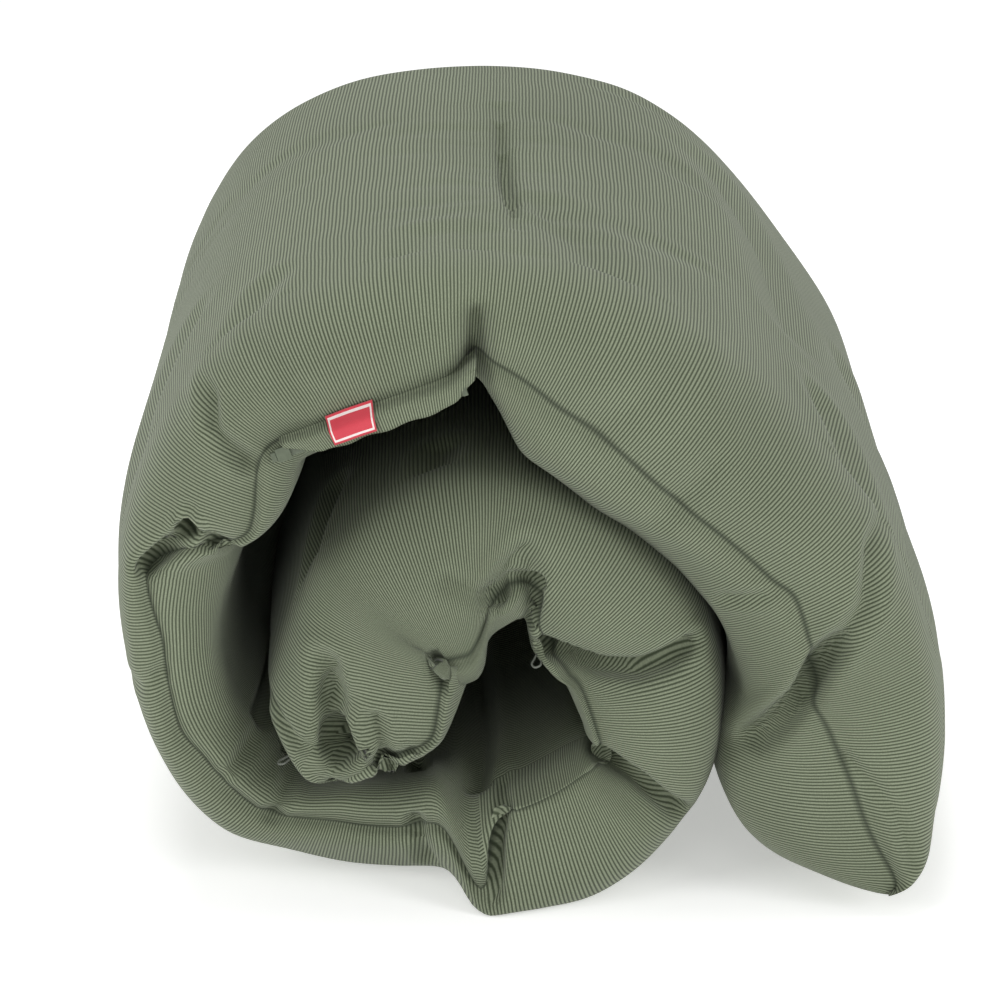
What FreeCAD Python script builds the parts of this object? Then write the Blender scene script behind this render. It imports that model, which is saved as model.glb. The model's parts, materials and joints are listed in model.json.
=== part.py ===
import FreeCAD, Part
import math
import os

import Sketcher

# Infrared sauna blanket, rolled up for storage.
#
# The blanket is one long padded mat. Cross-quilted fold lines divide it into thirteen panels, numbered
# from the outer, free end (01) to the inner end of the roll (13). Panel 08 lies flat on the floor.
# Each panel is drawn flat in its own frame: local X runs along the mat, local Y across its width and
# local Z from the outer skin (0) to the skin that faces the user. The fold lines are on the outer skin,
# so a fold opens like a hinge there and the V between two panels gapes on the inner side.

doc = FreeCAD.newDocument("sauna_blanket")

# ---------------------------------------------------------------- driving dimensions (mm, degrees)

PANEL_LENGTH = [169, 190, 206, 175, 150, 157, 113, 110, 142, 138, 160, 132, 130]
PANEL_DEPTH = [130, 107, 106, 92, 84, 52, 54, 56, 78, 84, 86, 96, 112]
FOLD_ANGLE = [35, 27, 48, 46, 37, 37, 40, 21, 67, 55, 57, 56]
PANEL_COUNT = len(PANEL_LENGTH)
FLOOR_PANEL = 8
HEATED_PANELS = range(2, 11)

DIMENSIONS = {
    "mat_width": 600,
    "cover_wall": 2,
    "lining_wall": 1.6,
    "outer_edge_radius": 38,
    "fold_gap": 0.4,
    "layer_gap": 0.2,
    "film_depth": 2.4,
    "film_end_margin": 14,
    "film_side_margin": 60,
    # fly, zip and label on the front rim of panel 04
    "fly_length": 136,
    "fly_height": 14,
    "fly_wall": 1.2,
    "fly_start": 26,
    "seam_level": 56,
    "chain_length": 128,
    "chain_height": 6,
    "chain_wall": 1.2,
    "stop_length": 3,
    "slider_length": 9,
    "slider_height": 9,
    "slider_wall": 1.2,
    "running_gap": 0.3,
    "label_length": 40,
    "label_height": 17,
    "label_wall": 0.6,
    "label_start": 90,
    "label_level": 59,
    # power inlet in the back rim of panel 02
    "inlet_length": 26,
    "inlet_height": 18,
    "inlet_body_depth": 34,
    "bezel_length": 36,
    "bezel_height": 26,
    "bezel_wall": 5.2,
    "contact_diameter": 3,
    "contact_hole_diameter": 3.2,
    "contact_spacing": 7,
    "contact_recess": 12,
    "contact_length": 26,
    "bay_length": 40,
    "bay_depth": 92,
    "cutout_length": 16,
    "cutout_width": 10,
    "cutout_height": 6,
    "sensor_diameter": 5,
    "sensor_length": 10,
    "sensor_offset": 4,
    "lead_diameter": 2.4,
    "lead_bend_radius": 9,
    "lead_run": 8,
    # hanging loops
    "loop_cord_diameter": 1.6,
    "loop_bend_radius": 2.6,
    "loop_leg": 8,
    "loop_side_inset": 22,
    "loop_end_level": 24,
}


def fill_sheet(sheet):
    """Every driving dimension is a plain number in a cell of its own, with its name as the alias."""
    rows = dict(DIMENSIONS)
    for number in range(1, PANEL_COUNT + 1):
        rows[f"panel_length_{number:02d}"] = PANEL_LENGTH[number - 1]
        rows[f"panel_depth_{number:02d}"] = PANEL_DEPTH[number - 1]
        rows[f"fold_after_{number:02d}"] = FOLD_ANGLE[number - 1] if number < PANEL_COUNT else 0
    for row, (alias, value) in enumerate(rows.items(), start=1):
        sheet.set(f"A{row}", alias)
        sheet.set(f"B{row}", str(value))
        sheet.setAlias(f"B{row}", alias)


dims = doc.addObject("Spreadsheet::Sheet", "Dims")
fill_sheet(dims)
doc.recompute()


def size(alias):
    return float(getattr(dims, alias))


def vector(x, y, z):
    return FreeCAD.Vector(x, y, z)


# ---------------------------------------------------------------- where the panels lie in the roll


def headings():
    """Direction in which each panel runs, in degrees; the floor panel runs along +X."""
    angle = {FLOOR_PANEL: 0.0}
    for number in range(FLOOR_PANEL + 1, PANEL_COUNT + 1):
        angle[number] = angle[number - 1] + size(f"fold_after_{number - 1:02d}")
    for number in range(FLOOR_PANEL - 1, 0, -1):
        angle[number] = angle[number + 1] - size(f"fold_after_{number:02d}")
    return angle


def fold_points(angle):
    """Outer-skin points of the roll in its X-Z section: panel n runs from point n to point n + 1."""
    step = {n: vector(math.cos(math.radians(a)), 0, math.sin(math.radians(a))) for n, a in angle.items()}
    point = {FLOOR_PANEL: vector(0, 0, 0)}
    for number in range(FLOOR_PANEL, PANEL_COUNT + 1):
        point[number + 1] = point[number] + step[number] * size(f"panel_length_{number:02d}")
    for number in range(FLOOR_PANEL - 1, 0, -1):
        point[number] = point[number + 1] - step[number] * size(f"panel_length_{number:02d}")
    middle = (min(p.x for p in point.values()) + max(p.x for p in point.values())) / 2
    return {number: p - vector(middle, 0, 0) for number, p in point.items()}


HEADING = headings()
FOLD_POINT = fold_points(HEADING)


def panel_placement(number):
    return FreeCAD.Placement(FOLD_POINT[number], FreeCAD.Rotation(vector(0, -1, 0), HEADING[number]))


def edge_at(number, end, level):
    """Expression for a panel's local X on its fold plane, which leans by half the fold, at a height."""
    if end == "start":
        fold = f"Dims.fold_after_{number - 1:02d}" if number > 1 else None
        return f"Dims.fold_gap + ({level}) * tan(0.5 deg * {fold})" if fold else "0"
    length = f"Dims.panel_length_{number:02d}"
    if number == PANEL_COUNT:
        return length
    return f"{length} - Dims.fold_gap - ({level}) * tan(0.5 deg * Dims.fold_after_{number:02d})"


# ---------------------------------------------------------------- helpers for bodies and sketches

sub_parts = []


def new_body(name, number):
    """A sub-part drawn flat in a panel's own frame and placed with that panel."""
    body = doc.addObject("PartDesign::Body", name)
    body.Label = name
    body.Placement = panel_placement(number)
    sub_parts.append(body)
    return body


def new_sketch(body, role, name, offset=None):
    plane = next(item for item in body.Origin.OriginFeatures if item.Role == role)
    sketch = body.newObject("Sketcher::SketchObject", name)
    sketch.AttachmentSupport = [(plane, "")]
    sketch.MapMode = "FlatFace"
    if offset:
        sketch.setExpression("AttachmentOffset.Base.z", offset)
    return sketch


def fix_point(sketch, geometry, position, pair, values):
    """Holds a point at (x, y) from the origin, both bound to the sheet."""
    for kind, expression, value in zip(("DistanceX", "DistanceY"), pair, values):
        index = sketch.addConstraint(Sketcher.Constraint(kind, -1, 1, geometry, position, value))
        sketch.setExpression(f"Constraints[{index}]", expression)


def draw_polygon(sketch, corners):
    """Closed outline through corners, given as (x, y) expressions."""
    count = len(corners)
    values = [[float(dims.evalExpression(text)) for text in pair] for pair in corners]
    first = sketch.GeometryCount
    for k in range(count):
        sketch.addGeometry(Part.LineSegment(vector(*values[k], 0), vector(*values[(k + 1) % count], 0)))
    for k in range(count):
        sketch.addConstraint(Sketcher.Constraint("Coincident", first + k, 2, first + (k + 1) % count, 1))
    for k, pair in enumerate(corners):
        fix_point(sketch, first + k, 1, pair, values[k])


def draw_box(sketch, low, high):
    """Rectangle between two (x, y) expression pairs."""
    draw_polygon(sketch, [low, (high[0], low[1]), high, (low[0], high[1])])


def draw_circle(sketch, centre, diameter):
    values = [float(dims.evalExpression(text)) for text in centre]
    index = sketch.addGeometry(
        Part.Circle(vector(*values, 0), vector(0, 0, 1), dims.evalExpression(diameter) / 2)
    )
    fix_point(sketch, index, 3, centre, values)
    number = sketch.addConstraint(Sketcher.Constraint("Diameter", index, dims.evalExpression(diameter)))
    sketch.setExpression(f"Constraints[{number}]", diameter)


def pad(body, sketch, length, symmetric=False, reverse=False):
    feature = body.newObject("PartDesign::Pad", f"{body.Name}_pad")
    feature.Profile = sketch
    feature.SideType = "Symmetric" if symmetric else "One side"
    feature.Reversed = reverse
    feature.setExpression("Length", length)
    doc.recompute()
    return feature


def pocket(body, sketch, length, reverse=False):
    """Cuts a sketch into the body and makes sure that it took something away."""
    before = body.Shape.Volume
    feature = body.newObject("PartDesign::Pocket", f"{body.Name}_pocket")
    feature.Profile = sketch
    feature.Reversed = reverse
    feature.setExpression("Length", length)
    doc.recompute()
    if feature.Shape.Volume > before - 1:
        raise RuntimeError(f"{feature.Name} cuts nothing")
    return feature


def round_edges(body, base, test, radius):
    names = [f"Edge{k}" for k, edge in enumerate(base.Shape.Edges, start=1) if test(edge)]
    feature = body.newObject("PartDesign::Fillet", f"{body.Name}_fillet")
    feature.Base = (base, names)
    feature.setExpression("Radius", radius)
    doc.recompute()
    return feature


def lengthwise_at(level):
    """Test for the two edges that run along a panel at a height."""

    def test(edge):
        a, b = edge.Vertexes[0].Point, edge.Vertexes[-1].Point
        flat = abs(a.z - level) < 0.01 and abs(b.z - level) < 0.01
        return flat and abs(a.y - b.y) < 0.01

    return test


def panel_slab(body, number, low, high, half_width, end_inset="0"):
    """Part of a panel between two heights: it ends on the leaning fold planes, or at the mat's end."""
    sketch = new_sketch(body, "XZ_Plane", f"{body.Name}_section")
    start, end = ("0", "0")
    if number == 1:
        start = end_inset
    if number == PANEL_COUNT:
        end = end_inset
    corners = [
        (f"{edge_at(number, 'start', low)} + {start}", low),
        (f"{edge_at(number, 'end', low)} - ({end})", low),
        (f"{edge_at(number, 'end', high)} - ({end})", high),
        (f"{edge_at(number, 'start', high)} + {start}", high),
    ]
    draw_polygon(sketch, corners)
    return pad(body, sketch, f"2 * ({half_width})", symmetric=True)


# ---------------------------------------------------------------- the padded panels


def outer_cover(number):
    """Ribbed outer fabric of a panel with its two rims: a tray that is open at the folds and inside."""
    body = new_body(f"outer_cover_{number:02d}", number)
    depth = f"Dims.panel_depth_{number:02d}"
    block = panel_slab(body, number, "0", depth, "Dims.mat_width / 2")
    rounded = round_edges(body, block, lengthwise_at(0), "Dims.outer_edge_radius")
    level = size(f"panel_depth_{number:02d}")
    open_sides = []
    if number > 1:
        open_sides.append("start")
    if number < PANEL_COUNT:
        open_sides.append("end")
    names = []
    for k, face in enumerate(rounded.Shape.Faces, start=1):
        if not isinstance(face.Surface, Part.Plane):
            continue
        normal = face.normalAt(0, 0)
        inner = normal.z > 0.99 and abs(face.CenterOfMass.z - level) < 0.01
        starts = normal.x < -0.5 and "start" in open_sides
        ends = normal.x > 0.5 and "end" in open_sides
        if inner or starts or ends:
            names.append(f"Face{k}")
    shell = body.newObject("PartDesign::Thickness", f"{body.Name}_wall")
    shell.Base = (rounded, names)
    shell.Reversed = True
    shell.setExpression("Value", "Dims.cover_wall")
    doc.recompute()
    return body


def lining(number):
    """Inner fabric of a panel, sewn in between the two rims."""
    body = new_body(f"lining_{number:02d}", number)
    depth = f"Dims.panel_depth_{number:02d}"
    half_width = "Dims.mat_width / 2 - Dims.cover_wall"
    low = f"{depth} - Dims.lining_wall"
    panel_slab(body, number, low, depth, half_width, "Dims.cover_wall")
    return body


def film_level(number):
    return f"Dims.panel_depth_{number:02d} - Dims.lining_wall - Dims.film_depth"


def wadding(number):
    """Fibre filling of a panel, between the outer fabric and the lining or the heater film."""
    body = new_body(f"wadding_{number:02d}", number)
    low = "Dims.cover_wall + Dims.layer_gap"
    high = f"{film_level(number)} - Dims.layer_gap"
    half_width = "Dims.mat_width / 2 - Dims.cover_wall - Dims.layer_gap"
    inset = "Dims.cover_wall + Dims.layer_gap"
    block = panel_slab(body, number, low, high, half_width, inset)
    level = size("cover_wall") + size("layer_gap")
    radius = "Dims.outer_edge_radius - Dims.cover_wall - Dims.layer_gap"
    round_edges(body, block, lengthwise_at(level), radius)
    return body


def heater_film(number):
    """Carbon heating film on its reflective foil, laid under the lining."""
    body = new_body(f"heater_film_{number:02d}", number)
    sketch = new_sketch(body, "XY_Plane", f"{body.Name}_outline", film_level(number))
    margin = "Dims.film_end_margin"
    side = "Dims.mat_width / 2 - Dims.film_side_margin"
    low = f"{edge_at(number, 'start', 'Dims.panel_depth_%02d' % number)} + {margin}"
    high = f"{edge_at(number, 'end', 'Dims.panel_depth_%02d' % number)} - {margin}"
    draw_box(sketch, (low, f"-1 * ({side})"), (high, side))
    pad(body, sketch, "Dims.film_depth - Dims.layer_gap")
    return body


# ---------------------------------------------------------------- fly, zip and label on panel 04

FRONT = "-1 * Dims.mat_width / 2"
FLY_PANEL = 4


def front_plate(name, low, high, back, wall):
    """Thin plate on the front rim: low and high are (x, z) pairs, back is its distance off the rim."""
    body = new_body(name, FLY_PANEL)
    sketch = new_sketch(body, "XZ_Plane", f"{name}_outline", f"Dims.mat_width / 2 + {back}")
    draw_box(sketch, low, high)
    return body, pad(body, sketch, wall)


SLIDER_BACK = "Dims.chain_wall + Dims.running_gap"
FLY_BACK = f"{SLIDER_BACK} + Dims.slider_wall + Dims.running_gap"
LABEL_BACK = f"{FLY_BACK} + Dims.fly_wall"
ZIP_AXIS = "Dims.seam_level + Dims.fly_height / 2"
CHAIN_START = "Dims.fly_start + (Dims.fly_length - Dims.chain_length) / 2"
CHAIN_END = f"{CHAIN_START} + Dims.chain_length"


def zip_chain():
    low = (CHAIN_START, f"{ZIP_AXIS} - Dims.chain_height / 2")
    high = (CHAIN_END, f"{ZIP_AXIS} + Dims.chain_height / 2")
    front_plate("zip_chain", low, high, "0", "Dims.chain_wall")


def zip_stops():
    """Two stops crimped on the ends of the chain, standing up in the slider's way."""
    body = new_body("zip_stops", FLY_PANEL)
    sketch = new_sketch(body, "XZ_Plane", "zip_stops_outline", "Dims.mat_width / 2 + Dims.chain_wall")
    low, high = f"{ZIP_AXIS} - Dims.chain_height / 2", f"{ZIP_AXIS} + Dims.chain_height / 2"
    for start in (CHAIN_START, f"{CHAIN_END} - Dims.stop_length"):
        draw_box(sketch, (start, low), (f"{start} + Dims.stop_length", high))
    body.AllowCompound = True
    pad(body, sketch, "Dims.slider_wall + Dims.running_gap")


def zip_slider():
    """Slider without a pull, as on cushion covers; it rests closed, at the chain's far end."""
    end = f"{CHAIN_END} - Dims.stop_length - Dims.running_gap"
    low = (f"{end} - Dims.slider_length", f"{ZIP_AXIS} - Dims.slider_height / 2")
    high = (end, f"{ZIP_AXIS} + Dims.slider_height / 2")
    body, plate = front_plate("zip_slider", low, high, SLIDER_BACK, "Dims.slider_wall")

    def short_edge(edge):
        a, b = edge.Vertexes[0].Point, edge.Vertexes[-1].Point
        return abs(a.x - b.x) < 0.01 and abs(a.z - b.z) < 0.01

    round_edges(body, plate, short_edge, "Dims.slider_wall")


def fly():
    """Flap of outer fabric that hangs from the edge seam, over the zip."""
    low = ("Dims.fly_start", "Dims.seam_level")
    high = ("Dims.fly_start + Dims.fly_length", "Dims.seam_level + Dims.fly_height")
    front_plate("zip_fly", low, high, FLY_BACK, "Dims.fly_wall")


def woven_label():
    """Label folded over the edge seam; it lies on the fly."""
    low = ("Dims.label_start", "Dims.label_level - Dims.label_height / 2")
    high = ("Dims.label_start + Dims.label_length", "Dims.label_level + Dims.label_height / 2")
    front_plate("woven_label", low, high, LABEL_BACK, "Dims.label_wall")


# ---------------------------------------------------------------- power inlet in panel 02's back rim

INLET_PANEL = 2
INLET_X = "Dims.panel_length_02 / 2"
INLET_Z = "Dims.panel_depth_02 / 2"
BACK = "Dims.mat_width / 2"


def back_sketch(body, name, depth):
    """Sketch parallel to the back rim, a distance inside it (negative stands outside)."""
    return new_sketch(body, "XZ_Plane", name, f"-1 * ({BACK} - {depth})")


def box_about_inlet(length, height):
    low = (f"{INLET_X} - {length} / 2", f"{INLET_Z} - {height} / 2")
    return low, (f"{INLET_X} + {length} / 2", f"{INLET_Z} + {height} / 2")


def contact_centres():
    return [(f"{INLET_X} + {k} * Dims.contact_spacing", INLET_Z) for k in (-1, 0, 1)]


def power_inlet():
    """Moulded inlet: a body inside the rim, a bezel outside it and three contact holes right through."""
    body = new_body("power_inlet", INLET_PANEL)
    core = back_sketch(body, "power_inlet_core", "0")
    draw_box(core, *box_about_inlet("Dims.inlet_length", "Dims.inlet_height"))
    pad(body, core, "Dims.inlet_body_depth")
    bezel = back_sketch(body, "power_inlet_bezel", "0")
    draw_box(bezel, *box_about_inlet("Dims.bezel_length", "Dims.bezel_height"))
    pad(body, bezel, "Dims.bezel_wall", reverse=True)
    holes = back_sketch(body, "power_inlet_holes", "-1 * Dims.bezel_wall")
    for centre in contact_centres():
        draw_circle(holes, centre, "Dims.contact_hole_diameter")
    pocket(body, holes, "Dims.bezel_wall + Dims.inlet_body_depth", reverse=True)


def inlet_contacts():
    body = new_body("inlet_contacts", INLET_PANEL)
    body.AllowCompound = True
    sketch = back_sketch(body, "inlet_contacts_ends", "Dims.contact_recess")
    for centre in contact_centres():
        draw_circle(sketch, centre, "Dims.contact_diameter")
    pad(body, sketch, "Dims.contact_length")


def bay_in_wadding(body):
    """Bay in the filling, open to the back rim and to the heater film, for everything electrical."""
    sketch = new_sketch(body, "XY_Plane", "wadding_bay", film_level(INLET_PANEL))
    low = (f"{INLET_X} - Dims.bay_length / 2", f"{BACK} - Dims.bay_depth")
    draw_box(sketch, low, (f"{INLET_X} + Dims.bay_length / 2", f"{BACK} + 1"))
    pocket(body, sketch, "Dims.panel_depth_02 / 2 + Dims.inlet_height")


def opening_in_cover(body):
    sketch = back_sketch(body, "cover_inlet_opening", "-1")
    draw_box(sketch, *box_about_inlet("Dims.inlet_length", "Dims.inlet_height"))
    pocket(body, sketch, "Dims.cover_wall + 2", reverse=True)


def thermal_cutout():
    """Over-temperature cut-out, against the underside of the film."""
    body = new_body("thermal_cutout", INLET_PANEL)
    sketch = new_sketch(body, "XY_Plane", "thermal_cutout_outline", film_level(INLET_PANEL))
    middle = f"{BACK} - Dims.bay_depth + Dims.cutout_width"
    low = (f"{INLET_X} - Dims.cutout_length", f"{middle} - Dims.cutout_width / 2")
    draw_box(sketch, low, (INLET_X, f"{middle} + Dims.cutout_width / 2"))
    pad(body, sketch, "Dims.cutout_height", reverse=True)


def temperature_sensor():
    """Thermistor bead, lying against the underside of the film beside the cut-out."""
    body = new_body("temperature_sensor", INLET_PANEL)
    sketch = new_sketch(body, "YZ_Plane", "temperature_sensor_end", f"{INLET_X} + Dims.sensor_offset")
    centre = (
        f"{BACK} - Dims.bay_depth + Dims.cutout_width",
        f"{film_level(INLET_PANEL)} - Dims.sensor_diameter / 2",
    )
    draw_circle(sketch, centre, "Dims.sensor_diameter")
    pad(body, sketch, "Dims.sensor_length")


def lead_shape():
    """Three leads, each straight in from its contact, round one bend and up to the film."""
    radius = size("lead_bend_radius")
    across = size("lead_diameter") / 2
    level = size("panel_depth_02") / 2
    top = size("panel_depth_02") - size("lining_wall") - size("film_depth")
    y_start = size("mat_width") / 2 - size("contact_recess") - size("contact_length")
    y_bend = y_start - size("lead_run")
    tubes = []
    for k in (-1, 0, 1):
        x = size("panel_length_02") / 2 + k * size("contact_spacing")
        half_turn = math.pi / 4
        across, down = radius * math.sin(half_turn), radius * (1 - math.cos(half_turn))
        middle = vector(x, y_bend - across, level + down)
        corner_end = vector(x, y_bend - radius, level + radius)
        path = Part.Wire([
            Part.LineSegment(vector(x, y_start, level), vector(x, y_bend, level)).toShape(),
            Part.Arc(vector(x, y_bend, level), middle, corner_end).toShape(),
            Part.LineSegment(corner_end, vector(x, y_bend - radius, top)).toShape(),
        ])
        profile = Part.Wire([Part.makeCircle(across, vector(x, y_start, level), vector(0, 1, 0))])
        tubes.append(path.makePipeShell([profile], True, True))
        if abs(tubes[-1].Volume - math.pi * across**2 * path.Length) > 0.01 * tubes[-1].Volume:
            raise RuntimeError("a lead's volume is not its section times its length")
    return Part.makeCompound(tubes)


def heater_leads():
    feature = doc.addObject("Part::Feature", "heater_leads")
    feature.Label = "heater_leads"
    feature.Shape = lead_shape()
    feature.Placement = panel_placement(INLET_PANEL)
    sub_parts.append(feature)


# ---------------------------------------------------------------- hanging loops


def hang_loop(name, number, origin, turn):
    """Small loop of cord: two close legs and a bend, standing on the fabric at origin, turned about Y."""
    radius = size("loop_bend_radius")
    leg = size("loop_leg")
    across = size("loop_cord_diameter") / 2
    path = Part.Wire([
        Part.LineSegment(vector(0, -radius, 0), vector(leg, -radius, 0)).toShape(),
        Part.Arc(vector(leg, -radius, 0), vector(leg + radius, 0, 0), vector(leg, radius, 0)).toShape(),
        Part.LineSegment(vector(leg, radius, 0), vector(0, radius, 0)).toShape(),
    ])
    profile = Part.Wire([Part.makeCircle(across, vector(0, -radius, 0), vector(1, 0, 0))])
    feature = doc.addObject("Part::Feature", name)
    feature.Label = name
    feature.Shape = path.makePipeShell([profile], True, True)
    local = FreeCAD.Placement(origin, FreeCAD.Rotation(vector(0, -1, 0), turn))
    feature.Placement = panel_placement(number).multiply(local)
    sub_parts.append(feature)


# ---------------------------------------------------------------- build, check and write

for panel in range(1, PANEL_COUNT + 1):
    cover = outer_cover(panel)
    filling = wadding(panel)
    lining(panel)
    if panel == INLET_PANEL:
        opening_in_cover(cover)
        bay_in_wadding(filling)
    if panel in HEATED_PANELS:
        heater_film(panel)

zip_chain()
zip_stops()
zip_slider()
fly()
woven_label()
power_inlet()
inlet_contacts()
thermal_cutout()
temperature_sensor()
heater_leads()

side = size("loop_side_inset") - size("mat_width") / 2
end_spot = vector(size("panel_length_13"), side, size("loop_end_level"))
middle_spot = vector(size("panel_length_11") / 2, side, size("panel_depth_11"))
hang_loop("hang_loop_end", 13, end_spot, 0)
hang_loop("hang_loop_middle", 11, middle_spot, 90)

doc.recompute()
for item in doc.Objects:
    if "Invalid" in item.State or "Error" in item.State:
        raise RuntimeError(f"{item.Name} did not recompute: {item.State}")
for item in sub_parts:
    if item.Shape.isNull() or not item.Shape.isValid():
        raise RuntimeError(f"{item.Label} has no valid shape")

os.makedirs("parts", exist_ok=True)
for item in sub_parts:
    item.Shape.exportStep(f"parts/{item.Label}.step")

print(len(sub_parts), "sub-parts; mat", sum(PANEL_LENGTH), "mm long")
for number, point in FOLD_POINT.items():
    print("fold point", number, round(point.x, 3), round(point.z, 3))
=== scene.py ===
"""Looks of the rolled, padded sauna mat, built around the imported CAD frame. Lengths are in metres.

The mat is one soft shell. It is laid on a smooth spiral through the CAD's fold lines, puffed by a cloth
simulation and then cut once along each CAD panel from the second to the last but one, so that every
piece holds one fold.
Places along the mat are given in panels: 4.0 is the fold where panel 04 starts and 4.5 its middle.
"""

import json
import math

import bpy
import numpy as np
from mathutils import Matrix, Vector
from mathutils.bvhtree import BVHTree

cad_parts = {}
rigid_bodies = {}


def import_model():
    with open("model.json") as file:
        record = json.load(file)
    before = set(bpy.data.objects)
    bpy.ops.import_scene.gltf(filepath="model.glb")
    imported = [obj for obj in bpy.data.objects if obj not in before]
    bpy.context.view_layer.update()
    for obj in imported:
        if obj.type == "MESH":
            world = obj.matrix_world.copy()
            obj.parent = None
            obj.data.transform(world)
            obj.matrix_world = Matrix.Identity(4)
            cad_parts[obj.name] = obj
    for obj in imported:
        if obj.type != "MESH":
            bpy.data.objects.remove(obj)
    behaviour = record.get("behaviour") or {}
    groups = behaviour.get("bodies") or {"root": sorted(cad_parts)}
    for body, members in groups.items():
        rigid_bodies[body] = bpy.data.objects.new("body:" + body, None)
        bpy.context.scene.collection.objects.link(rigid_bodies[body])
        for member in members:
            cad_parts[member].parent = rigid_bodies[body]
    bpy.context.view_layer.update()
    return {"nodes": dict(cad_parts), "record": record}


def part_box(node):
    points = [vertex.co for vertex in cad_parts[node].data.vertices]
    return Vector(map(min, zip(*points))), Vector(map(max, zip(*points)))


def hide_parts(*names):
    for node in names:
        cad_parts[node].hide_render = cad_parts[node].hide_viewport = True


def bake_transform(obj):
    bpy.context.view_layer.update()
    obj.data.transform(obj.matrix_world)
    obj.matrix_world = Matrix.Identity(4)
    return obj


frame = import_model()

PANELS = 13
# Where the shell is cut along each panel, as a share of its length. Next to the tightest folds the cuts
# keep away from them, so that the fabric inside the fold has room to bend.
CUT = {n: 0.5 for n in range(2, PANELS)} | {9: 0.3, 10: 0.65, 11: 0.45, 12: 0.6}
WIDTH = 0.600  # of the mat, along Y
FLOOR_GAP = 0.0006  # lowest height of any fabric
STEP = 0.0075  # between stations along the mat
END_ROWS = 19  # stations in each rounded end
END_LENGTH = 0.09
FACE_COLUMNS = 64
UPPER_COLUMNS = 14
LOWER_COLUMNS = 10
RIM_WIDTH = 0.05  # how far a rim reaches in over the lining
BACK_ROUND = 0.062  # radius across the mat of the back rim's outer edge
RIB_PITCH = 0.00235
THREAD_PITCH = 0.0016
SOFT = ("outer_cover", "lining", "wadding", "heater_film")

# ---------------------------------------------------------------- the roll, read from the CAD frame


def node_points(name):
    """Vertices of a CAD node in the X-Z plane."""
    co = np.array([v.co for v in frame["nodes"][name].data.vertices])
    return co[:, [0, 2]]


def direction(angle):
    """Unit vector along a heading in the X-Z plane."""
    return np.array([math.cos(angle), math.sin(angle)])


def inward(angle):
    """Unit vector from the outer skin into the mat, square to a heading."""
    return np.array([-math.sin(angle), math.cos(angle)])


def read_roll():
    """Fold points, headings and depths of the CAD's thirteen panels."""
    fold, turn = {}, {}
    for joint in frame["record"]["behaviour"]["joints"]:
        if joint["type"] == "hinge":
            number = max(int(joint[side][-2:]) for side in ("parent", "child"))
            fold[number] = np.array([joint["pos_m"][0], joint["pos_m"][2]])
            turn[number] = math.radians(joint["range_deg"][1])
    heading = {8: 0.0}
    for number in range(9, PANELS + 1):
        heading[number] = heading[number - 1] + turn[number]
    for number in range(7, 0, -1):
        heading[number] = heading[number + 1] - turn[number + 1]
    first = (node_points("outer_cover_01") - fold[2]) @ direction(heading[1])
    fold[1] = fold[2] + first.min() * direction(heading[1])
    last = (node_points(f"outer_cover_{PANELS}") - fold[PANELS]) @ direction(heading[PANELS])
    fold[PANELS + 1] = fold[PANELS] + last.max() * direction(heading[PANELS])
    depth = {}
    for number in range(1, PANELS + 1):
        local = (node_points(f"lining_{number:02d}") - fold[number]) @ inward(heading[number])
        depth[number] = local.max()
    return fold, heading, depth


FOLD, HEADING, DEPTH = read_roll()
KNOT = np.array([FOLD[n] for n in range(1, PANELS + 2)])
PANEL_LENGTH = np.linalg.norm(np.diff(KNOT, axis=0), axis=1)
KNOT_S = np.concatenate([[0], np.cumsum(PANEL_LENGTH)])
LENGTH = KNOT_S[-1]


def s_of(p):
    """Distance along the mat's outer skin of a place given in panels."""
    return np.interp(p, np.arange(1, PANELS + 2), KNOT_S)


def p_of(s):
    """Place in panels of a distance along the mat's outer skin."""
    return np.interp(s, KNOT_S, np.arange(1, PANELS + 2))


def spline(s):
    """Smooth curve through the fold points."""
    h = PANEL_LENGTH
    chord = np.diff(KNOT, axis=0) / h[:, None]
    tangent = np.empty_like(KNOT)
    tangent[0], tangent[-1] = chord[0], chord[-1]
    tangent[1:-1] = (chord[1:] * h[:-1, None] + chord[:-1] * h[1:, None]) / (h[:-1] + h[1:])[:, None]
    k = np.clip(np.searchsorted(KNOT_S, s, side="right") - 1, 0, PANELS - 1)
    t = ((s - KNOT_S[k]) / h[k])[:, None]
    a, b = KNOT[k], KNOT[k + 1]
    ma, mb = tangent[k] * h[k][:, None], tangent[k + 1] * h[k][:, None]
    point = (
        (2 * t**3 - 3 * t**2 + 1) * a
        + (t**3 - 2 * t**2 + t) * ma
        + (3 * t**2 - 2 * t**3) * b
        + (t**3 - t**2) * mb
    )
    return point


FINE = np.linspace(0, LENGTH, 2000)
FINE_XZ = spline(FINE)


def soften(values, width):
    """Gaussian smoothing of an evenly spaced curve, which keeps its ends."""
    half = int(3 * width / (FINE[1] - FINE[0]))
    kernel = np.exp(-0.5 * (np.arange(-half, half + 1) / (half / 3)) ** 2)
    return np.convolve(np.pad(values, half, mode="edge"), kernel / kernel.sum(), mode="valid")


FINE_HEADING = soften(np.unwrap(np.arctan2(*np.gradient(FINE_XZ, axis=0).T[::-1])), 0.032)


def curve(table, s, width=0.012):
    """Smooth value along the mat from (place in panels, value) pairs."""
    places, values = np.array(table, float).T
    return np.interp(s, FINE, soften(np.interp(p_of(FINE), places, values), width))


def frame_at(s):
    """Point on the outer skin's line and the inward direction there."""
    point = np.stack([np.interp(s, FINE, FINE_XZ[:, k]) for k in (0, 1)], -1)
    angle = np.interp(s, FINE, FINE_HEADING)
    return point, np.stack([-np.sin(angle), np.cos(angle)], -1)


def spot(p, depth):
    """Point in the X-Z plane at a place in panels and a depth under the outer skin."""
    point, normal = frame_at(np.array([s_of(p)]))
    return point[0] + depth * normal[0]


# ---------------------------------------------------------------- shape along the mat

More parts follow.
